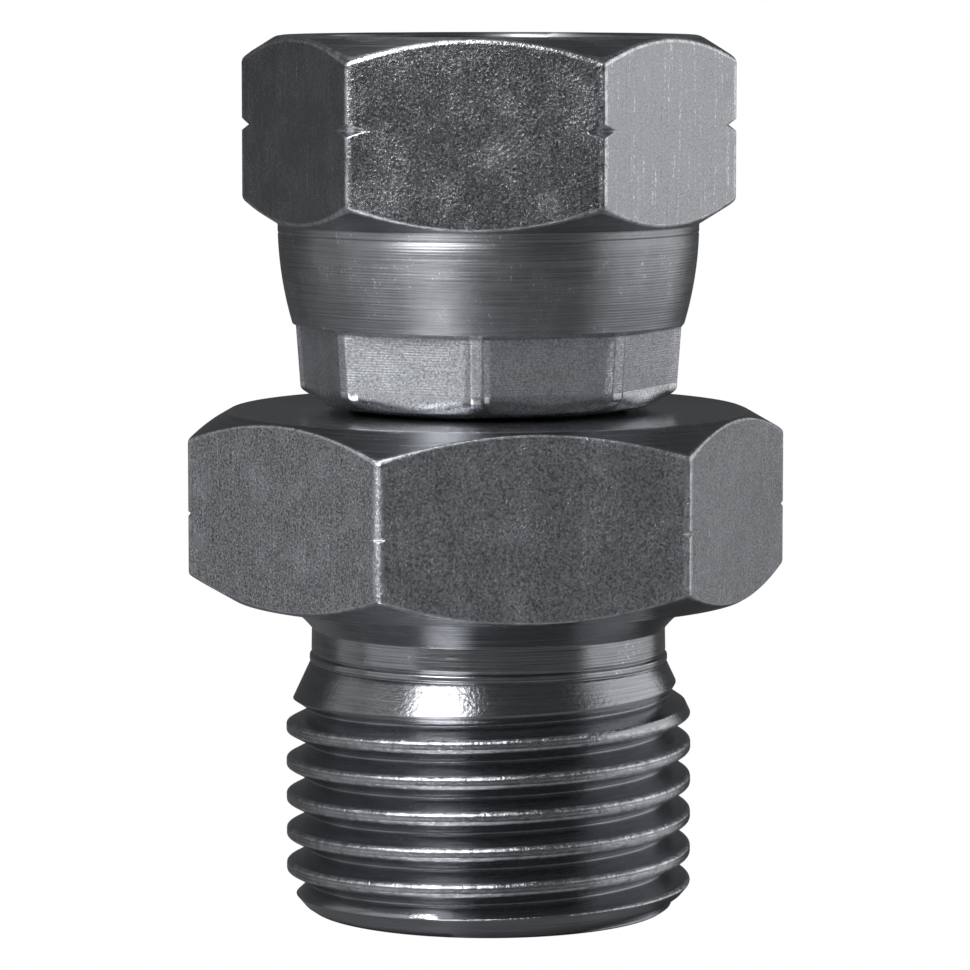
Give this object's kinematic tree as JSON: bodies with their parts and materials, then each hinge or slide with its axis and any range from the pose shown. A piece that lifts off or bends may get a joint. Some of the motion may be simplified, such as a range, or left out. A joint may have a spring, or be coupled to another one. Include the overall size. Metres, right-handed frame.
{
  "type": "face seal swivel adapter fitting",
  "caption": "Straight hydraulic adapter: parallel pipe thread on a hexagon body, with a flat-faced nipple held in a crimped swivel nut that turns freely.",
  "frame": {"origin": "on the axis, in the plane of the flat male end that the fitting stands on", "axes": "+Z along the axis from the male thread to the swivel nut, X through two opposite corners of the body hexagon"},
  "size_m": [0.0312, 0.027, 0.045],
  "materials": {
    "plated_steel_body": "zinc plated turned steel, grey, fine turning lines and speckled hexagon flats",
    "plated_steel_nut": "zinc plated turned steel, grey, scuffed hexagon flats and a turned, crimped tail"
  },
  "bodies": {
    "fitting": {"body": "plated_steel_body"},
    "nut": {"swivel_nut": "plated_steel_nut"}
  },
  "joints": [
    {"name": "nut_swivel", "type": "hinge", "parent": "fitting", "child": "nut", "pos_m": [0, 0, 0.0354], "axis": [0, 0, 1], "continuous": true}
  ]
}
